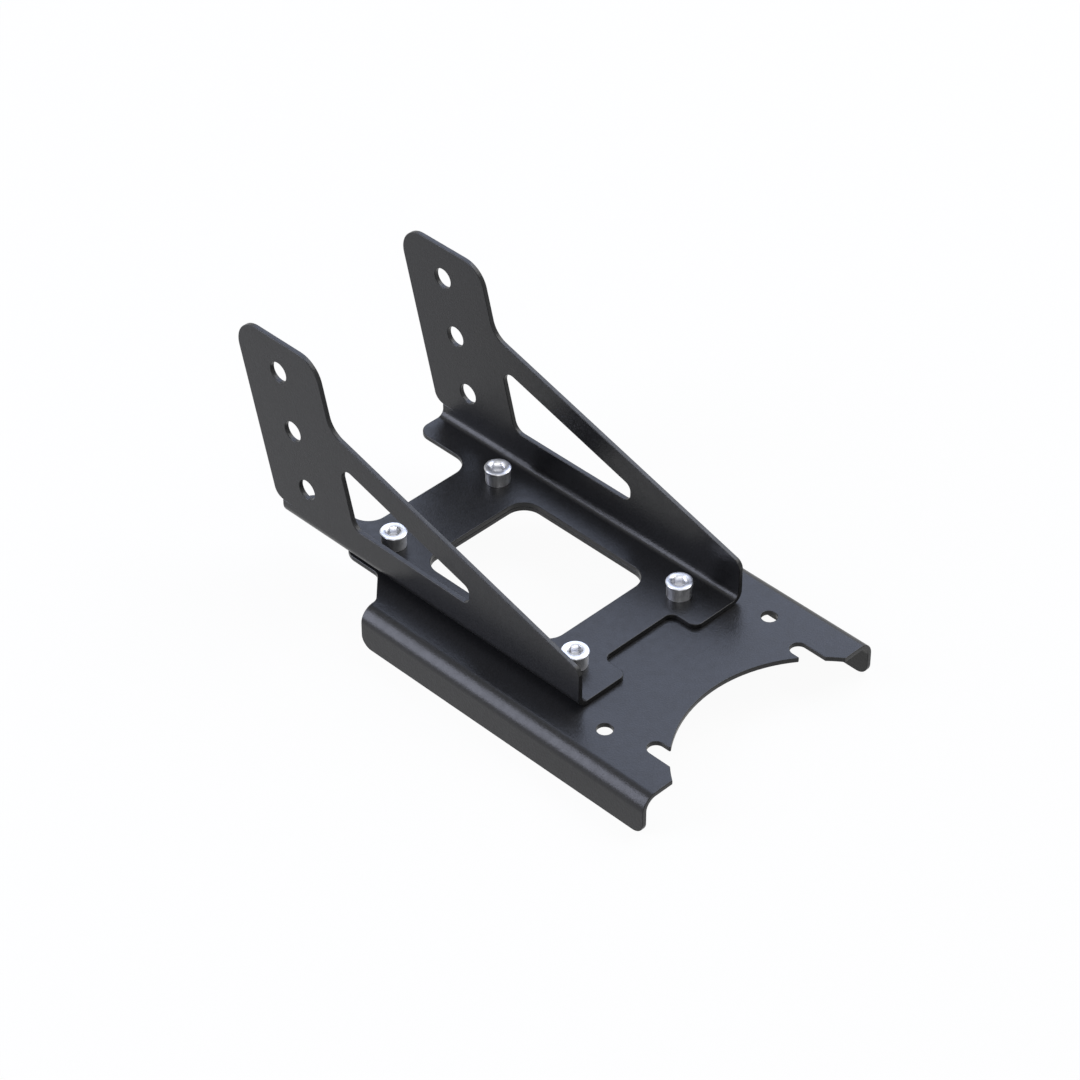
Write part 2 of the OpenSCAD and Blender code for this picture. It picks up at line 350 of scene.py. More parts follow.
@dataclass
class ShapingTree:
    """A Geometry Nodes tree with named inputs, run once on an object."""

    name: str
    tree: bpy.types.NodeTree = field(init=False)
    start: bpy.types.Node = field(init=False)

    def __post_init__(self) -> None:
        """Make the empty tree with its first input and its output."""
        self.tree = bpy.data.node_groups.new(self.name, "GeometryNodeTree")
        self.socket("Shape", "Geometry")
        self.tree.interface.new_socket("Result", in_out="OUTPUT", socket_type="NodeSocketGeometry")
        self.start = self.tree.nodes.new("NodeGroupInput")
        self.build()

    def socket(self, name: str, kind: str) -> None:
        """Add one named input of a kind such as Float, Int, Vector or Material."""
        self.tree.interface.new_socket(name, in_out="INPUT", socket_type="NodeSocket" + kind)

    def build(self) -> None:
        """Lay out the tree; each kind of tree has its own."""
        raise NotImplementedError

    def end(self, shape: bpy.types.NodeSocket) -> None:
        """Close the tree with realised, dressed geometry.

        Args:
            shape: Socket that gives the finished shape.
        """
        real = add_node(self.tree, "GeometryNodeRealizeInstances", {0: shape})
        dressed = add_node(self.tree, "GeometryNodeSetMaterial", {
            "Geometry": real.outputs[0], "Material": self.start.outputs["Finish"]})
        self.tree.links.new(dressed.outputs[0], self.tree.nodes.new("NodeGroupOutput").inputs[0])

    def run(self, name: str, mesh: bpy.types.Mesh, values: dict) -> bpy.types.Object:
        """Shape a mesh with the tree and leave a plain mesh object.

        Args:
            name: Name of the new object.
            mesh: Mesh that goes into the tree.
            values: Input names with their values.

        Returns:
            The object, at the origin and without modifiers.
        """
        piece = bpy.data.objects.new(name, mesh)
        bpy.context.scene.collection.objects.link(piece)
        modifier = piece.modifiers.new("shape", "NODES")
        modifier.node_group = self.tree
        for item in self.tree.interface.items_tree:
            if item.in_out == "INPUT" and item.name in values:
                modifier[item.identifier] = values[item.name]
        weighted = piece.modifiers.new("normals", "WEIGHTED_NORMAL")
        weighted.keep_sharp = True
        graph = bpy.context.evaluated_depsgraph_get()
        shaped = bpy.data.meshes.new_from_object(
            piece.evaluated_get(graph), preserve_all_data_layers=True, depsgraph=graph)
        piece.modifiers.clear()
        piece.data = shaped
        bpy.data.meshes.remove(mesh)
        shaped.name = name
        return piece


@dataclass
class PressBrake(ShapingTree):
    """Folds both sides of a flat sheet up or down through a right angle."""

    def build(self) -> None:
        """Lay out the fold: flat middle, arc, then a straight side."""
        for name in ("Bend Line", "Bend Radius", "Middle Height", "Sense"):
            self.socket(name, "Float")
        self.socket("Finish", "Material")
        tree, given = self.tree, self.start.outputs
        place = add_node(tree, "ShaderNodeSeparateXYZ", {
            0: add_node(tree, "GeometryNodeInputPosition").outputs[0]}).outputs
        across = add_node(tree, "ShaderNodeMath", {0: place["X"]}, operation="ABSOLUTE").outputs[0]
        side = add_node(tree, "ShaderNodeMath", {0: place["X"]}, operation="SIGN").outputs[0]
        past = add_node(tree, "ShaderNodeMath", {
            0: across, 1: given["Bend Line"]}, operation="SUBTRACT").outputs[0]
        turn = add_node(tree, "ShaderNodeMath", {
            0: past, 1: given["Bend Radius"]}, operation="DIVIDE").outputs[0]
        angle = add_node(tree, "ShaderNodeClamp", {
            "Value": turn, "Min": 0.0, "Max": QUARTER}).outputs[0]
        arc = add_node(tree, "ShaderNodeMath", {
            0: given["Bend Radius"], 1: QUARTER}, operation="MULTIPLY").outputs[0]
        beyond = add_node(tree, "ShaderNodeMath", {
            0: past, 1: arc}, operation="SUBTRACT").outputs[0]
        straight = add_node(tree, "ShaderNodeMath", {
            0: beyond, 1: 0.0}, operation="MAXIMUM").outputs[0]
        depth = add_node(tree, "ShaderNodeMath", {
            0: place["Z"], 1: given["Sense"]}, operation="MULTIPLY").outputs[0]
        radius = add_node(tree, "ShaderNodeMath", {
            0: given["Bend Radius"], 1: depth}, operation="SUBTRACT").outputs[0]
        sine = add_node(tree, "ShaderNodeMath", {0: angle}, operation="SINE").outputs[0]
        cosine = add_node(tree, "ShaderNodeMath", {0: angle}, operation="COSINE").outputs[0]
        flat = add_node(tree, "ShaderNodeMath", {
            0: across, 1: given["Bend Line"]}, operation="MINIMUM").outputs[0]
        reach = add_node(tree, "ShaderNodeMath", {
            0: radius, 1: sine, 2: flat}, operation="MULTIPLY_ADD").outputs[0]
        new_x = add_node(tree, "ShaderNodeMath", {
            0: reach, 1: side}, operation="MULTIPLY").outputs[0]
        drop = add_node(tree, "ShaderNodeMath", {
            0: radius, 1: cosine}, operation="MULTIPLY").outputs[0]
        rise = add_node(tree, "ShaderNodeMath", {
            0: given["Bend Radius"], 1: drop}, operation="SUBTRACT").outputs[0]
        total = add_node(tree, "ShaderNodeMath", {0: rise, 1: straight}, operation="ADD").outputs[0]
        new_z = add_node(tree, "ShaderNodeMath", {
            0: total, 1: given["Sense"], 2: given["Middle Height"]},
            operation="MULTIPLY_ADD").outputs[0]
        folded = add_node(tree, "ShaderNodeCombineXYZ", {"X": new_x, "Y": place["Y"], "Z": new_z})
        shape = add_node(tree, "GeometryNodeSetPosition", {
            "Geometry": given["Shape"], "Position": folded.outputs[0]})
        self.end(shape.outputs[0])


@dataclass
class Lathe(ShapingTree):
    """Turns a profile round the Z axis, with hexagonal rows and a thread.

    Each point of the profile gives the largest radius, the distance to the flats
    of a hexagon, or zero where the row is round, and the height.
    """

    def build(self) -> None:
        """Lay out the turning: a grid of rows and steps, bent into rings."""
        self.socket("Steps", "Int")
        for name in ("Pitch", "Thread Depth", "Thread Top", "Thread Bottom", "Turn"):
            self.socket(name, "Float")
        self.socket("Place", "Vector")
        self.socket("Finish", "Material")
        tree, given = self.tree, self.start.outputs
        rows = add_node(tree, "GeometryNodeAttributeDomainSize", {
            0: given["Shape"]}).outputs["Point Count"]
        columns = add_node(tree, "ShaderNodeMath", {
            0: given["Steps"], 1: 1.0}, operation="ADD").outputs[0]
        grid = add_node(tree, "GeometryNodeMeshGrid", {
            "Vertices X": columns, "Vertices Y": rows}).outputs["Mesh"]
        index = add_node(tree, "GeometryNodeInputIndex").outputs[0]
        passed = add_node(tree, "ShaderNodeMath", {
            0: index, 1: rows}, operation="DIVIDE").outputs[0]
        column = add_node(tree, "ShaderNodeMath", {0: passed}, operation="FLOOR").outputs[0]
        row = add_node(tree, "ShaderNodeMath", {0: index, 1: rows}, operation="MODULO").outputs[0]
        share = add_node(tree, "ShaderNodeMath", {
            0: column, 1: given["Steps"]}, operation="DIVIDE").outputs[0]
        angle = add_node(tree, "ShaderNodeMath", {
            0: share, 1: math.tau}, operation="MULTIPLY").outputs[0]
        place = add_node(tree, "GeometryNodeInputPosition").outputs[0]
        sample = add_node(tree, "GeometryNodeSampleIndex", {
            "Geometry": given["Shape"], "Value": place, "Index": row}, data_type="FLOAT_VECTOR")
        profile = add_node(tree, "ShaderNodeSeparateXYZ", {0: sample.outputs[0]}).outputs
        sixth = add_node(tree, "ShaderNodeMath", {
            0: angle, 1: math.tau / 6}, operation="MODULO").outputs[0]
        off_flat = add_node(tree, "ShaderNodeMath", {
            0: sixth, 1: math.tau / 12}, operation="SUBTRACT").outputs[0]
        lean = add_node(tree, "ShaderNodeMath", {0: off_flat}, operation="COSINE").outputs[0]
        flats = add_node(tree, "ShaderNodeMath", {
            0: profile["Y"], 1: lean}, operation="DIVIDE").outputs[0]
        round_row = add_node(tree, "ShaderNodeMath", {
            0: profile["Y"], 1: NO_FLATS}, operation="LESS_THAN").outputs[0]
        free = add_node(tree, "ShaderNodeMath", {
            0: round_row, 1: flats}, operation="ADD").outputs[0]
        plain = add_node(tree, "ShaderNodeMath", {
            0: profile["X"], 1: free}, operation="MINIMUM").outputs[0]
        below = add_node(tree, "ShaderNodeMath", {
            0: profile["Z"], 1: given["Thread Top"]}, operation="LESS_THAN").outputs[0]
        above = add_node(tree, "ShaderNodeMath", {
            0: profile["Z"], 1: given["Thread Bottom"]}, operation="GREATER_THAN").outputs[0]
        threaded = add_node(tree, "ShaderNodeMath", {
            0: below, 1: above}, operation="MULTIPLY").outputs[0]
        turns = add_node(tree, "ShaderNodeMath", {
            0: profile["Z"], 1: given["Pitch"]}, operation="DIVIDE").outputs[0]
        phase = add_node(tree, "ShaderNodeMath", {
            0: turns, 1: share}, operation="SUBTRACT").outputs[0]
        wave = add_node(tree, "ShaderNodeMath", {0: phase, 1: 0.5}, operation="PINGPONG").outputs[0]
        groove = add_node(tree, "ShaderNodeMath", {
            0: wave, 1: given["Thread Depth"]}, operation="MULTIPLY").outputs[0]
        full = add_node(tree, "ShaderNodeMath", {
            0: groove, 1: 2.0}, operation="MULTIPLY").outputs[0]
        cut = add_node(tree, "ShaderNodeMath", {
            0: full, 1: threaded}, operation="MULTIPLY").outputs[0]
        radius = add_node(tree, "ShaderNodeMath", {
            0: plain, 1: cut}, operation="SUBTRACT").outputs[0]
        heading = add_node(tree, "ShaderNodeMath", {
            0: angle, 1: given["Turn"]}, operation="ADD").outputs[0]
        cosine = add_node(tree, "ShaderNodeMath", {0: heading}, operation="COSINE").outputs[0]
        sine = add_node(tree, "ShaderNodeMath", {0: heading}, operation="SINE").outputs[0]
        new_x = add_node(tree, "ShaderNodeMath", {
            0: radius, 1: cosine}, operation="MULTIPLY").outputs[0]
        new_y = add_node(tree, "ShaderNodeMath", {
            0: radius, 1: sine}, operation="MULTIPLY").outputs[0]
        spun = add_node(tree, "ShaderNodeCombineXYZ", {"X": new_x, "Y": new_y, "Z": profile["Z"]})
        seated = add_node(tree, "ShaderNodeVectorMath", {
            0: spun.outputs[0], 1: given["Place"]}, operation="ADD")
        turned = add_node(tree, "GeometryNodeSetPosition", {
            "Geometry": grid, "Position": seated.outputs[0]})
        closed = add_node(tree, "GeometryNodeMergeByDistance", {
            "Geometry": turned.outputs[0], "Distance": SEAM})
        self.end(closed.outputs[0])


# ---- the folded sheets ----


@dataclass
class FoldedSheet:
    """One sheet of steel, cut flat and folded along two lines."""

    node: str
    width: float
    height: float
    bend_radius: float
    fold: Fold
    thickness: float = 2.0
    edge_round: float = 0.3
    screw_spacing: Point = (54.7, 95.6)
    screw_hole: float = 6.6
    window: Corner = (54.0, 66.4, 8.0)

    def neutral(self) -> float:
        """Bend radius at the middle of the sheet."""
        return self.bend_radius + self.thickness / 2

    def bend_line(self) -> float:
        """Distance from the middle of the sheet to the start of a bend."""
        return self.width / 2 - self.thickness - self.bend_radius

    def straight_from(self) -> float:
        """Distance along the flat sheet to where a side is straight again."""
        return self.bend_line() + self.neutral() * QUARTER

    def along_side(self, rise: float) -> float:
        """Place on the flat sheet of a point that is rise beyond the end of the bend."""
        return self.straight_from() + rise

    def shared_openings(self) -> list[Ring]:
        """Lay out what both sheets have.

        Returns:
            The window and the four screw holes.
        """
        width, length, radius = self.window
        window = rounded([
            (-width / 2, length / 2, radius), (width / 2, length / 2, radius),
            (width / 2, -length / 2, radius), (-width / 2, -length / 2, radius)])
        across, along = self.screw_spacing
        holes = [
            round_hole(x * across / 2, y * along / 2, self.screw_hole / 2)
            for x in (-1, 1) for y in (-1, 1)]
        return [window, *holes]

    def half_outline(self) -> list[Corner]:
        """Corners of the right half, from the front middle to the rear middle."""
        raise NotImplementedError

    def openings(self) -> list[Ring]:
        """Every hole in the flat sheet."""
        raise NotImplementedError

    def outline(self) -> Ring:
        """The whole flat outline, counter-clockwise."""
        half = self.half_outline()
        return rounded([*half, *((-x, y, r) for x, y, r in reversed(half))])

    def bend_rows(self) -> list[float]:
        """Divide the bends into strips.

        Returns:
            Places of the lines across the flat sheet that bound the strips.
        """
        return [
            side * (self.bend_line() + (self.straight_from() - self.bend_line()) * k / BEND_STRIPS)
            for side in (-1, 1) for k in range(BEND_STRIPS + 1)]

    def rim_levels(self) -> list[Point]:
        """Round a cut edge.

        Returns:
            How far each row of points lies in the sheet and its height over the
            middle plane, from the upper face to the lower one.
        """
        half = self.thickness / 2
        rim = [
            (self.edge_round * (1 - math.sin(a)), half - self.edge_round * (1 - math.cos(a)))
            for a in (QUARTER * k / RIM_STEPS for k in range(RIM_STEPS + 1))]
        return [*rim, *((depth, -height) for depth, height in reversed(rim))]

    def filled(self, rims: Sequence[Ring], lines: Sequence[float]) -> list[list[int]]:
        """Fill the sheet between its rims, with an edge along every line.

        Args:
            rims: The outer rim and then the rims of the holes.
            lines: Places of the lines across the sheet.

        Returns:
            Faces as numbers of the rims' points, counted through all rims.
        """
        flat = [Vector(point) for rim in rims for point in rim]
        edges: list[tuple[int, int]] = []
        for rim in rims:
            first, count = len(edges), len(rim)
            edges += [(first + i, first + (i + 1) % count) for i in range(count)]
        for line in lines:
            ends = [i for i, point in enumerate(flat) if abs(point.x - line) < ON_LINE]
            edges.append((ends[0], ends[-1]))
        spots, _, cells, origins, _, _ = delaunay_2d_cdt(flat, edges, [], INSIDE_ONLY, SAME_SPOT)
        kept = []
        for cell in cells:
            middle = sum((spots[i] for i in cell), Vector((0.0, 0.0))) / len(cell)
            if not any(encloses(hole, middle) for hole in rims[1:]):
                kept.append([origins[i][0] for i in cell])
        return kept

    def blank(self) -> bpy.types.Mesh:
        """Cut the flat sheet, with its edges rounded by the coat.

        Returns:
            A mesh in metres, centred on its middle plane, with a row of faces for
            each strip of the bends.
        """
        lines, levels = self.bend_rows(), self.rim_levels()
        points: list[tuple[float, float, float]] = []
        faces: list[tuple[int, ...]] = []
        sharp: set[tuple[int, int]] = set()
        rims: list[Ring] = []
        top: list[int] = []
        under: list[int] = []
        for ring in (with_crossings(self.outline(), lines), *self.openings()):
            first, count = len(points), len(ring)
            rims.append(inset(ring, levels[0][0]))
            for depth, height in levels:
                points += [(x, y, height) for x, y in inset(ring, depth)]
            for level in range(len(levels) - 1):
                high, low = first + level * count, first + (level + 1) * count
                faces += [
                    (high + i, low + i, low + (i + 1) % count, high + (i + 1) % count)
                    for i in range(count)]
                sharp |= {(high + i, low + i) for i in range(count) if self.turns_hard(ring, i)}
            top += range(first, first + count)
            under += range(len(points) - count, len(points))
        for cell in self.filled(rims, lines):
            faces.append(tuple(top[i] for i in cell))
            faces.append(tuple(under[i] for i in reversed(cell)))
        mesh = bpy.data.meshes.new(self.node + "_blank")
        mesh.from_pydata([(x * MM, y * MM, z * MM) for x, y, z in points], [], faces)
        mesh.shade_smooth()
        for edge in mesh.edges:
            start, end = edge.vertices
            edge.use_edge_sharp = (start, end) in sharp or (end, start) in sharp
        return mesh

    @staticmethod
    def turns_hard(ring: Ring, i: int) -> bool:
        """Tell whether a ring has an unrounded corner.

        Args:
            ring: Points of a closed outline.
            i: Number of the point.

        Returns:
            True where the outline turns hard at that point.
        """
        here = Vector(ring[i])
        one = here - Vector(ring[i - 1])
        two = Vector(ring[(i + 1) % len(ring)]) - here
        return one.angle(two) > HARD_TURN

    def build(self, brake: PressBrake, finish: bpy.types.Material) -> bpy.types.Object:
        """Fold the sheet and hang it on the frame.

        Args:
            brake: Tree that folds.
            finish: Material of the whole sheet.

        Returns:
            The finished piece.
        """
        piece = brake.run(self.node + "_sheet", self.blank(), {
            "Bend Line": self.bend_line() * MM,
            "Bend Radius": self.neutral() * MM,
            "Middle Height": (self.height - self.thickness / 2) * MM,
            "Sense": self.fold.value,
            "Finish": finish})
        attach(piece, "root")
        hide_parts(self.node)
        return piece


@dataclass
class BasePlate(FoldedSheet):
    """The lower sheet: flanges, a tongue behind, an arc with two open slots in front."""

    node: str = "base_plate"
    width: float = 121.0
    height: float = 17.0
    bend_radius: float = 4.5
    fold: Fold = Fold.DOWN
    front: float = -113.7
    flange_rear: float = 30.7
    flange_corner: float = 5.0
    tongue: Corner = (83.5, 62.5, 8.0)
    flare: float = 10.8
    flare_fillet: float = 4.0
    arc_radius: float = 56.5
    arc_crest: float = -90.5
    slot_spacing: float = 75.2
    slot_width: float = 6.8
    slot_end: float = -94.8
    slot_tip: float = 0.5
    front_hole: Corner = (86.7, -78.4, 6.1)
    arc_steps: tuple[int, int, int] = (12, 24, 3)

    def on_arc(self, x: float) -> Point:
        """Point of the front arc at the distance x from the middle."""
        return (x, self.arc_crest - self.arc_radius + math.sqrt(self.arc_radius ** 2 - x ** 2))

    def half_outline(self) -> list[Corner]:
        """Lay out the right half.

        Returns:
            Corners from the crest of the arc, round the slot and the flange, to
            the tongue.
        """
        crest_steps, slot_steps, nose_steps = self.arc_steps
        inner = (self.slot_spacing - self.slot_width) / 2
        outer = inner + self.slot_width
        middle_y = self.slot_end - self.slot_width / 2
        centre_y = self.arc_crest - self.arc_radius
        nose_x = math.sqrt(self.arc_radius ** 2 - (self.front - centre_y) ** 2)
        crest = [(*self.on_arc(inner * k / crest_steps), 0.0) for k in range(1, crest_steps)]
        slot_arc = [
            (self.slot_spacing / 2 - self.slot_width / 2 * math.cos(math.pi * k / slot_steps),
             middle_y + self.slot_width / 2 * math.sin(math.pi * k / slot_steps), 0.0)
            for k in range(slot_steps + 1)]
        nose = [
            (*self.on_arc(outer + (nose_x - outer) * k / nose_steps), 0.0)
            for k in range(nose_steps)]
        flange = self.along_side(self.height - self.thickness - self.bend_radius)
        wide, end, corner = self.tongue
        return [
            (*self.on_arc(0.0), 0.0), *crest, (*self.on_arc(inner), self.slot_tip),
            *slot_arc, *nose,
            (nose_x, self.front, 0.0),
            (flange, self.front, self.flange_corner),
            (flange, self.flange_rear, self.flange_corner),
            (wide / 2 + self.flare, self.flange_rear, self.flare_fillet),
            (wide / 2, self.flange_rear + self.flare, self.flare_fillet),
            (wide / 2, end, corner)]

    def outline(self) -> Ring:
        """The whole flat outline; the crest of the arc is in it once."""
        half = self.half_outline()
        return rounded([*half, *((-x, y, r) for x, y, r in reversed(half[1:]))])

    def openings(self) -> list[Ring]:
        """Lay out the holes.

        Returns:
            Window, screw holes and the two round holes in front.
        """
        spacing, along, diameter = self.front_hole
        front = [round_hole(side * spacing / 2, along, diameter / 2) for side in (-1, 1)]
        return [*self.shared_openings(), *front]


@dataclass
class UpperBracket(FoldedSheet):
    """The upper sheet: a web between two side plates with brace and upright."""

    node: str = "upper_bracket"
    width: float = 86.0
    height: float = 19.0
    bend_radius: float = 3.0
    fold: Fold = Fold.UP
    plate_top: float = 80.3
    front: float = -65.0
    tab_rear: float = 92.5
    relief: float = 5.2
    lean: float = math.radians(15)
    upright_width: float = 43.5
    upright_foot: float = 94.5
    brace_slope: float = math.radians(16)
    brace_rise: float = 34.9
    brace_width: float = 10.7
    triangle_floor: float = 13.5
    triangle_front: float = -9.0
    triangle_inset: float = 0.6
    side_hole: Corner = (8.5, 17.6, 25.0)
    side_hole_inset: float = 20.3
    notch: Corner = (54.0, 62.5, 8.0)
    recess: Corner = (36.0, -52.9, 3.5)
    front_tab_corner: float = 3.5
    rear_tab_corner: float = 5.5
    plate_nose: float = 4.0
    brace_fillet: float = 10.0
    top_front_corner: float = 11.5
    top_rear_corner: float = 10.0
    heel_corner: float = 5.0
    triangle_corners: Corner = (3.4, 5.0, 4.0)
    side_holes: int = 3

    def rear_edge(self, rise: float) -> float:
        """Rear edge of the upright, at a height above the web."""
        return self.upright_foot + math.tan(self.lean) * rise

    def front_edge(self, rise: float) -> float:
        """Front edge of the upright, at a height above the web."""
        return self.rear_edge(rise) - self.upright_width / math.cos(self.lean)

    def brace_top(self, along: float) -> float:
        """Height of the brace's upper edge above the web."""
        return self.brace_rise + math.tan(self.brace_slope) * along

    def crossing(self, rise_at_middle: float, foot: float) -> float:
        """Height where a line sloped as the brace meets one that leans as the upright."""
        both = math.tan(self.brace_slope) * math.tan(self.lean)
        return (rise_at_middle + math.tan(self.brace_slope) * foot) / (1 - both)

    def on_plate(self, along: float, rise: float, radius: float) -> Corner:
        """Corner on the flat sheet for a point of the right side plate."""
        return (self.along_side(rise - self.bend_radius), along, radius)

    def half_outline(self) -> list[Corner]:
        """Lay out the right half.

        Returns:
            Corners from the front recess, round the side plate, to the rear notch.
        """
        knee = self.crossing(self.brace_rise, self.front_edge(0.0))
        recess_width, recess_floor, recess_radius = self.recess
        notch_width, notch_floor, notch_radius = self.notch
        return [
            (recess_width / 2, recess_floor, recess_radius),
            (recess_width / 2, self.front, self.front_tab_corner),
            self.on_plate(self.front, self.brace_top(self.front), self.plate_nose),
            self.on_plate(self.front_edge(knee), knee, self.brace_fillet),
            self.on_plate(self.front_edge(self.plate_top), self.plate_top, self.top_front_corner),
            self.on_plate(self.rear_edge(self.plate_top), self.plate_top, self.top_rear_corner),
            self.on_plate(self.rear_edge(self.relief), self.relief, self.heel_corner),
            self.on_plate(self.tab_rear, self.relief, 0.0),
            self.on_plate(self.tab_rear, self.bend_radius, 0.0),
            (notch_width / 2, self.tab_rear, self.rear_tab_corner),
            (notch_width / 2, notch_floor, notch_radius)]

    def triangle(self) -> Ring:
        """Lay out the triangular window of the right side plate.

        Returns:
            Its rounded outline, clockwise.
        """
        front, foot, top = self.triangle_corners
        under = self.brace_rise - self.brace_width / math.cos(self.brace_slope)
        edge = -self.triangle_inset
        peak = self.crossing(under, self.front_edge(0.0) + edge)
        blunt = under + math.tan(self.brace_slope) * self.triangle_front
        corners = [
            self.on_plate(self.triangle_front, self.triangle_floor, front),
            self.on_plate(self.front_edge(self.triangle_floor) + edge, self.triangle_floor, foot),
            self.on_plate(self.front_edge(peak) + edge, peak, top),
            self.on_plate(self.triangle_front, blunt, front)]
        return rounded(corners)

    def openings(self) -> list[Ring]:
        """Lay out the holes.

        Returns:
            Window, screw holes, triangular windows and the two rows of side holes.
        """
        diameter, low, pitch = self.side_hole
        foot = self.rear_edge(0.0) - self.side_hole_inset / math.cos(self.lean)
        rises = [low + i * pitch * math.cos(self.lean) for i in range(self.side_holes)]
        centres = [
            self.on_plate(foot + math.tan(self.lean) * rise, rise, diameter / 2) for rise in rises]
        right = [self.triangle(), *(round_hole(*centre) for centre in centres)]
        return [*self.shared_openings(), *right, *(mirrored(ring) for ring in right)]


# ---- the fasteners ----


@dataclass
class TurnedPart:
    """One turned or headed part at each of the four screw places."""

    name: str
    node: str
    slot: Slot
    seat: float
    steps: int = 72
    turn: float = 0.0
    pitch: float = 1.0
    thread: Corner = (0.0, 0.0, 0.0)

    def profile(self) -> list[Corner]:
        """Rows of the part: largest radius, distance to the flats and height."""
        raise NotImplementedError

    def build(
            self, lathe: Lathe, finish: bpy.types.Material, place: Point, where: str,
            ) -> bpy.types.Object:
        """Turn one part at its place.

        Args:
            lathe: Tree that turns.
            finish: Material of the part.
            place: Centre of the screw place.
            where: Name of the screw place.

        Returns:
            The finished piece.
        """
        rows = self.profile()
        links = [(i, i + 1) for i in range(len(rows) - 1)]
        mesh = bpy.data.meshes.new(self.name)
        mesh.from_pydata([(r * MM, f * MM, z * MM) for r, f, z in rows], links, [])
        depth, top, bottom = self.thread
        piece = lathe.run(f"{self.name}_{where}", mesh, {
            "Steps": self.steps, "Pitch": self.pitch * MM, "Thread Depth": depth * MM,
            "Thread Top": top * MM, "Thread Bottom": bottom * MM, "Turn": self.turn,
            "Place": (place[0] * MM, place[1] * MM, self.seat * MM), "Finish": finish})
        piece.data.shade_smooth()
        piece.data.set_sharp_from_angle(angle=HARD_FOLD)
        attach(piece, "root")
        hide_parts(f"{self.node}_{where}")
        return piece


def rounding(
        radius: float, height: float, size: float, start: float, stop: float) -> list[Corner]:
    """Round an edge.

    Args:
        radius: Distance of the round's centre from the axis.
        height: Height of the round's centre.
        size: Radius of the round.
        start: First angle in degrees.
        stop: Last angle in degrees.

    Returns:
        Rows of the rounded edge, in order.
    """
    angles = [
        math.radians(start + (stop - start) * k / EDGE_STEPS) for k in range(EDGE_STEPS + 1)]
    return [(radius + size * math.cos(a), 0.0, height + size * math.sin(a)) for a in angles]


@dataclass
class CapScrew(TurnedPart):
    """Socket head cap screw, six millimetres.

    Its seat is the upper face of the web. The socket's wide mouth and the step
    under the rim of the head are as a cold headed screw has them.
    """

    name: str = "cap_screw"
    node: str = "screw"
    slot: Slot = Slot.BRIGHT
    seat: float = 19.0
    turn: float = math.radians(20)
    thread: Corner = (0.6, -1.5, -11.2)
    head: Point = (10.5, 6.5)
    body: float = 9.7
    body_top: float = 1.15
    head_edge: float = 0.5
    head_turn: Point = (90, -40)
    foot_edge: float = 0.1
    socket: Point = (5.0, 3.2)
    socket_cone: float = 0.6
    socket_foot: float = 0.1
    mouth: tuple[Point, Point] = ((1.17, 0.22), (1.25, 0.0))
    mouth_depth: float = 0.3
    shank: Point = (5.9, 12.0)
    neck: float = 0.3
    thread_start: float = 1.4
    thread_row: float = 0.125
    thread_end: Point = (0.75, 0.7)

    def profile(self) -> list[Corner]:
        """Lay out the section.

        Returns:
            Rows from the middle of the socket over the head and down the thread.
        """
        head_radius, top, body = self.head[0] / 2, self.head[1], self.body / 2
        flats, floor = self.socket[0] / 2, self.head[1] - self.socket[1]
        shank, length = self.shank[0] / 2, self.shank[1]
        edge, foot = self.head_edge, self.foot_edge
        point, taper = self.thread_end
        threaded = -self.thread[2] - self.thread_start
        return [
            (0.0, 0.0, floor - self.socket_cone),
            (head_radius, flats, floor), (head_radius, flats, floor + self.socket_foot),
            (head_radius, flats, top - self.mouth_depth),
            *((flats * wider, 0.0, top - fall) for wider, fall in self.mouth),
            *rounding(head_radius - edge, top - edge, edge, *self.head_turn),
            (body, 0.0, top - self.body_top),
            *rounding(body - foot, foot, foot, 0, -90),
            (shank + self.neck, 0.0, 0.0), (shank, 0.0, -self.neck),
            *((shank, 0.0, -self.thread_start - self.thread_row * k)
              for k in range(int(threaded / self.thread_row) + 1)),
            (shank, 0.0, taper - length), (shank - point, 0.0, -length), (0.0, 0.0, -length)]


@dataclass
class Washer(TurnedPart):
    """Plain washer under the base plate, with a finer edge at its bore."""

    name: str = "plain_washer"
    node: str = "washer"
    slot: Slot = Slot.PLAIN
    seat: float = 13.4
    size: Corner = (12.0, 6.4, 1.6)
    rim_edge: float = 0.25
    bore_edge: float = 0.15

    def profile(self) -> list[Corner]:
        """Lay out the section.

        Returns:
            Rows once round it.
        """
        outer, inner, thick = self.size[0] / 2, self.size[1] / 2, self.size[2]
        rim, bore = self.rim_edge, self.bore_edge
        return [
            (inner, 0.0, thick / 2),
            *rounding(inner + bore, bore, bore, 180, 270),
            *rounding(outer - rim, rim, rim, 270, 360),
            *rounding(outer - rim, thick - rim, rim, 0, 90),
            *rounding(inner + bore, thick - bore, bore, 90, 180),
            (inner, 0.0, thick / 2)]


@dataclass
class Nut(TurnedPart):
    """Hexagon nut under the washer, turned off at its corners."""

    name: str = "hex_nut"
    node: str = "nut"
    slot: Slot = Slot.PLAIN
    seat: float = 8.4
    turn: float = math.radians(12)
    width: float = 10.0
    thick: float = 5.0
    bore: float = 6.0
    bore_edge: float = 0.4
    face_share: float = 0.95
    corner_slope: float = math.radians(30)
    corner_steps: int = 5

    def profile(self) -> list[Corner]:
        """Lay out the section.

        Returns:
            Rows once round it, with the flats between the turned ends.
        """
        flats, inner, edge, steps = self.width / 2, self.bore / 2, self.bore_edge, self.corner_steps
        corner = flats / math.cos(math.tau / 12)
        ring = flats * self.face_share
        fall = (corner - ring) * math.tan(self.corner_slope)
        lower = [
            (ring + (corner - ring) * k / steps, flats, fall * k / steps)
            for k in range(steps + 1)]
        lower = [(inner, 0.0, self.thick / 2), (inner, 0.0, edge), (inner + edge, 0.0, 0.0), *lower]
        return lower + [
            (radius, flat, self.thick - height) for radius, flat, height in reversed(lower)]


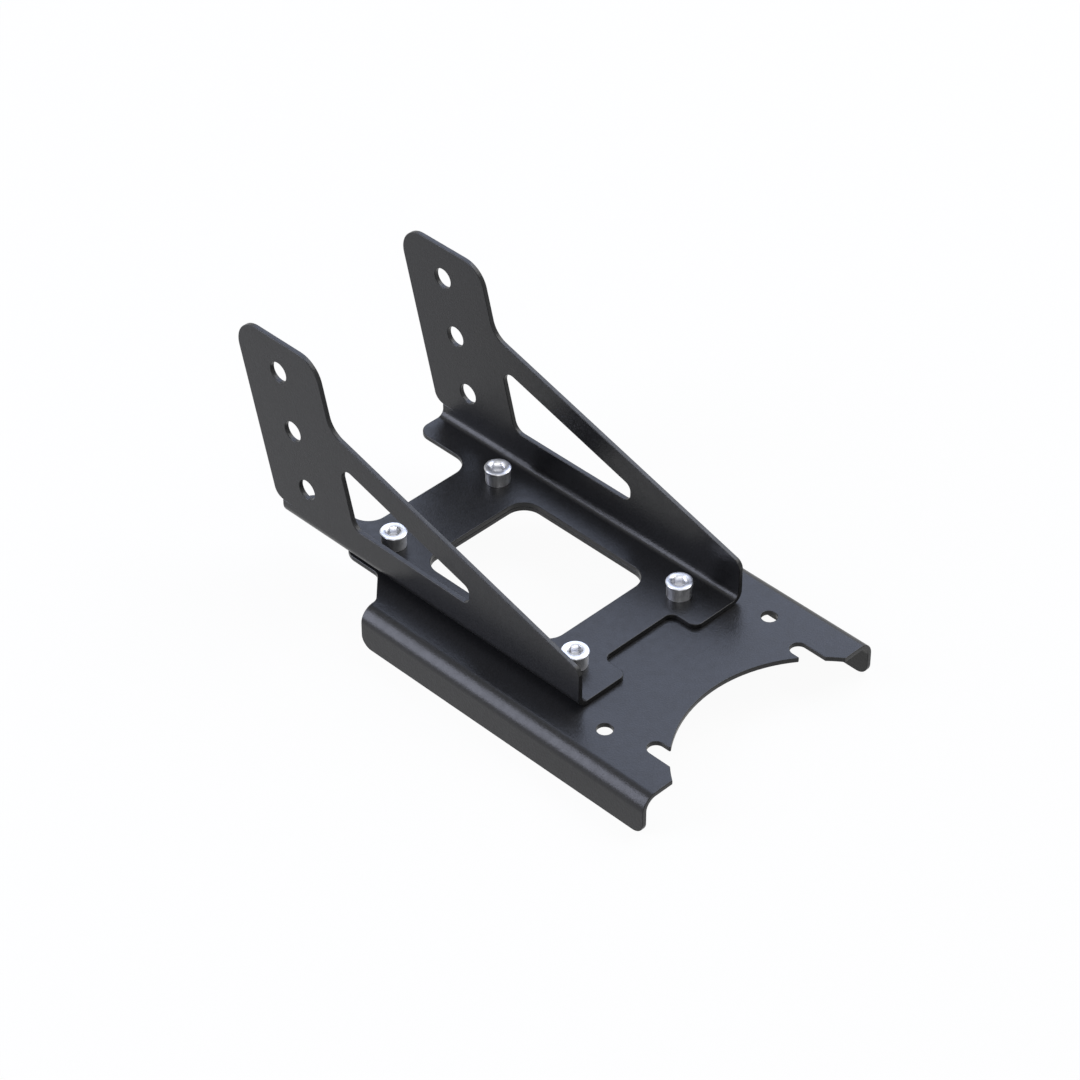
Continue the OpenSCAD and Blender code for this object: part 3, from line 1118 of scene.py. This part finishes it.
@dataclass
class FastenerSet:
    """Screws, washers and nuts at the four screw places."""

    spacing: Point = (54.7, 95.6)
    kinds: tuple[TurnedPart, ...] = field(default_factory=lambda: (CapScrew(), Washer(), Nut()))

    def places(self) -> dict[str, Point]:
        """Lay out the screw places.

        Returns:
            Their names and centres.
        """
        across, along = self.spacing[0] / 2, self.spacing[1] / 2
        return {
            "front_left": (-across, -along), "front_right": (across, -along),
            "rear_left": (-across, along), "rear_right": (across, along)}

    def build(
            self, lathe: Lathe, finishes: dict[Slot, bpy.types.Material],
            ) -> list[bpy.types.Object]:
        """Build every fastener.

        Args:
            lathe: Tree that turns.
            finishes: Material of each slot.

        Returns:
            The finished pieces.
        """
        return [
            kind.build(lathe, finishes[kind.slot], place, where)
            for kind in self.kinds for where, place in self.places().items()]


# ---- floor, light and camera ----


@dataclass(frozen=True)
class Softbox:
    """A lamp: its centre and size in metres, its power in watts and its colour."""

    name: str
    place: Corner
    size: Point
    power: float
    colour: str = WHITE

    def hang(self, aim: Vector) -> None:
        """Hang the lamp.

        Args:
            aim: Point that the lamp faces.
        """
        data = bpy.data.lights.new(self.name, "AREA")
        data.shape, data.energy = "RECTANGLE", self.power
        data.size, data.size_y = self.size
        data.color = linear(self.colour)[:3]
        lamp = bpy.data.objects.new(self.name, data)
        lamp.location = self.place
        lamp.rotation_euler = (aim - Vector(self.place)).to_track_quat("-Z", "Y").to_euler()
        bpy.context.scene.collection.objects.link(lamp)


@dataclass
class Studio:
    """A pale floor under soft light, seen from the photograph's side.

    The flat faces mirror the softbox at the rear right, and the bends draw the
    one at the rear left out into bright bands. The one at the side is for faces
    that lean to the front, and the one in front is a weak fill beside the camera.
    """

    softboxes: tuple[Softbox, ...] = (
        Softbox("rear_right_softbox", (1.1, 0.66, 1.38), (1.6, 1.6), 21.5, "#c8d8ff"),
        Softbox("rear_left_softbox", (-1.3, 0.95, 0.62), (1.0, 1.9), 45.0, "#e4e9ff"),
        Softbox("side_softbox", (1.2, -0.32, 1.42), (1.4, 1.1), 20.0),
        Softbox("front_softbox", (-1.2, -1.35, 1.25), (0.6, 0.6), 9.0))
    aim_height: float = 0.04
    floor_colour: str = "#e0e0e0"
    floor_reach: float = 4.0
    plain_share: float = 0.95
    world_strength: float = 0.08
    focal_mm: float = 124.31
    sensor_mm: float = 36.0
    clip_m: Point = (0.05, 20.0)
    camera_place: Corner = (-0.751168, -0.754644, 0.912518)
    camera_right: Corner = (0.707462901, -0.706750445, -0.000227848)
    camera_up: Corner = (0.450222180, 0.450427490, 0.770983180)
    camera_back: Corner = (-0.544790080, -0.545545580, 0.636855460)

    def seen_directly(self, tree: bpy.types.NodeTree) -> bpy.types.NodeSocket:
        """Tell the rays that show a surface from those that light the part.

        Args:
            tree: Tree that takes the nodes.

        Returns:
            Socket with one for camera, glossy and transmission rays, else zero.
        """
        path = add_node(tree, "ShaderNodeLightPath").outputs
        shiny = add_node(tree, "ShaderNodeMath", {
            0: path["Is Camera Ray"], 1: path["Is Glossy Ray"]}, operation="MAXIMUM")
        return add_node(tree, "ShaderNodeMath", {
            0: shiny.outputs[0], 1: path["Is Transmission Ray"]}, operation="MAXIMUM").outputs[0]

    def pale_floor(self) -> bpy.types.Material:
        """Make the floor's material.

        Plain white to the eye and in mirrors, with a small share of matt paper that
        carries the faint shadow.

        Returns:
            The material.
        """
        material, tree = new_material("pale_floor")
        matt = add_node(tree, "ShaderNodeBsdfDiffuse", {"Color": linear(self.floor_colour)})
        glow = add_node(tree, "ShaderNodeEmission", {"Color": linear(WHITE), "Strength": 1.0})
        share = add_node(tree, "ShaderNodeMath", {
            0: self.seen_directly(tree), 1: self.plain_share}, operation="MULTIPLY")
        mix = add_node(tree, "ShaderNodeMixShader", {
            0: share.outputs[0], 1: matt.outputs[0], 2: glow.outputs[0]})
        add_node(tree, "ShaderNodeOutputMaterial", {"Surface": mix.outputs[0]})
        return material

    def floor(self) -> None:
        """Lay the floor."""
        size = self.floor_reach
        mesh = bpy.data.meshes.new("floor")
        mesh.from_pydata(
            [(-size, -size, 0), (size, -size, 0), (size, size, 0), (-size, size, 0)],
            [], [(0, 1, 2, 3)])
        floor = bpy.data.objects.new("floor", mesh)
        bpy.context.scene.collection.objects.link(floor)
        mesh.materials.append(self.pale_floor())

    def world(self) -> None:
        """Fill the room with even light that shows as plain white."""
        world = bpy.data.worlds.new("soft_room")
        bpy.context.scene.world = world
        world.use_nodes = True
        tree = world.node_tree
        tree.nodes.clear()
        room = add_node(tree, "ShaderNodeBackground", {
            "Color": linear(WHITE), "Strength": self.world_strength})
        plain = add_node(tree, "ShaderNodeBackground", {"Color": linear(WHITE), "Strength": 1.0})
        mix = add_node(tree, "ShaderNodeMixShader", {
            0: self.seen_directly(tree), 1: room.outputs[0], 2: plain.outputs[0]})
        add_node(tree, "ShaderNodeOutputWorld", {"Surface": mix.outputs[0]})

    def camera(self) -> None:
        """Set the camera where the photograph was taken from."""
        data = bpy.data.cameras.new("photo_camera")
        data.lens, data.sensor_width = self.focal_mm, self.sensor_mm
        data.clip_start, data.clip_end = self.clip_m
        camera = bpy.data.objects.new("photo_camera", data)
        turned = Matrix((self.camera_right, self.camera_up, self.camera_back)).transposed()
        camera.matrix_world = Matrix.Translation(self.camera_place) @ turned.to_4x4()
        bpy.context.scene.collection.objects.link(camera)
        bpy.context.scene.camera = camera

    def build(self) -> None:
        """Set up floor, room, lamps and camera."""
        self.floor()
        self.world()
        for softbox in self.softboxes:
            softbox.hang(Vector((0.0, 0.0, self.aim_height)))
        self.camera()
        bpy.context.scene.view_settings.view_transform = "Standard"


def main() -> None:
    """Build the pieces in order and report each of them."""
    logging.basicConfig(level=logging.INFO, format="%(name)s: %(message)s")
    coat = PowderCoat().material("powder_coat_fine_black")
    plain_zinc = ZincPlate(colour="#c4c5c8", cloud="#b0b1b5", roughness=0.32)
    finishes = {
        Slot.BRIGHT: ZincPlate().material("zinc_plate_bright"),
        Slot.PLAIN: plain_zinc.material("zinc_plate_plain")}
    brake, lathe = PressBrake("press_brake"), Lathe("lathe")
    pieces = [sheet.build(brake, coat) for sheet in (BasePlate(), UpperBracket())]
    pieces += FastenerSet().build(lathe, finishes)
    for piece in pieces:
        LOG.info("%s: %d faces", piece.name, len(piece.data.polygons))
    Studio().build()


if __name__ == "__main__":
    main()
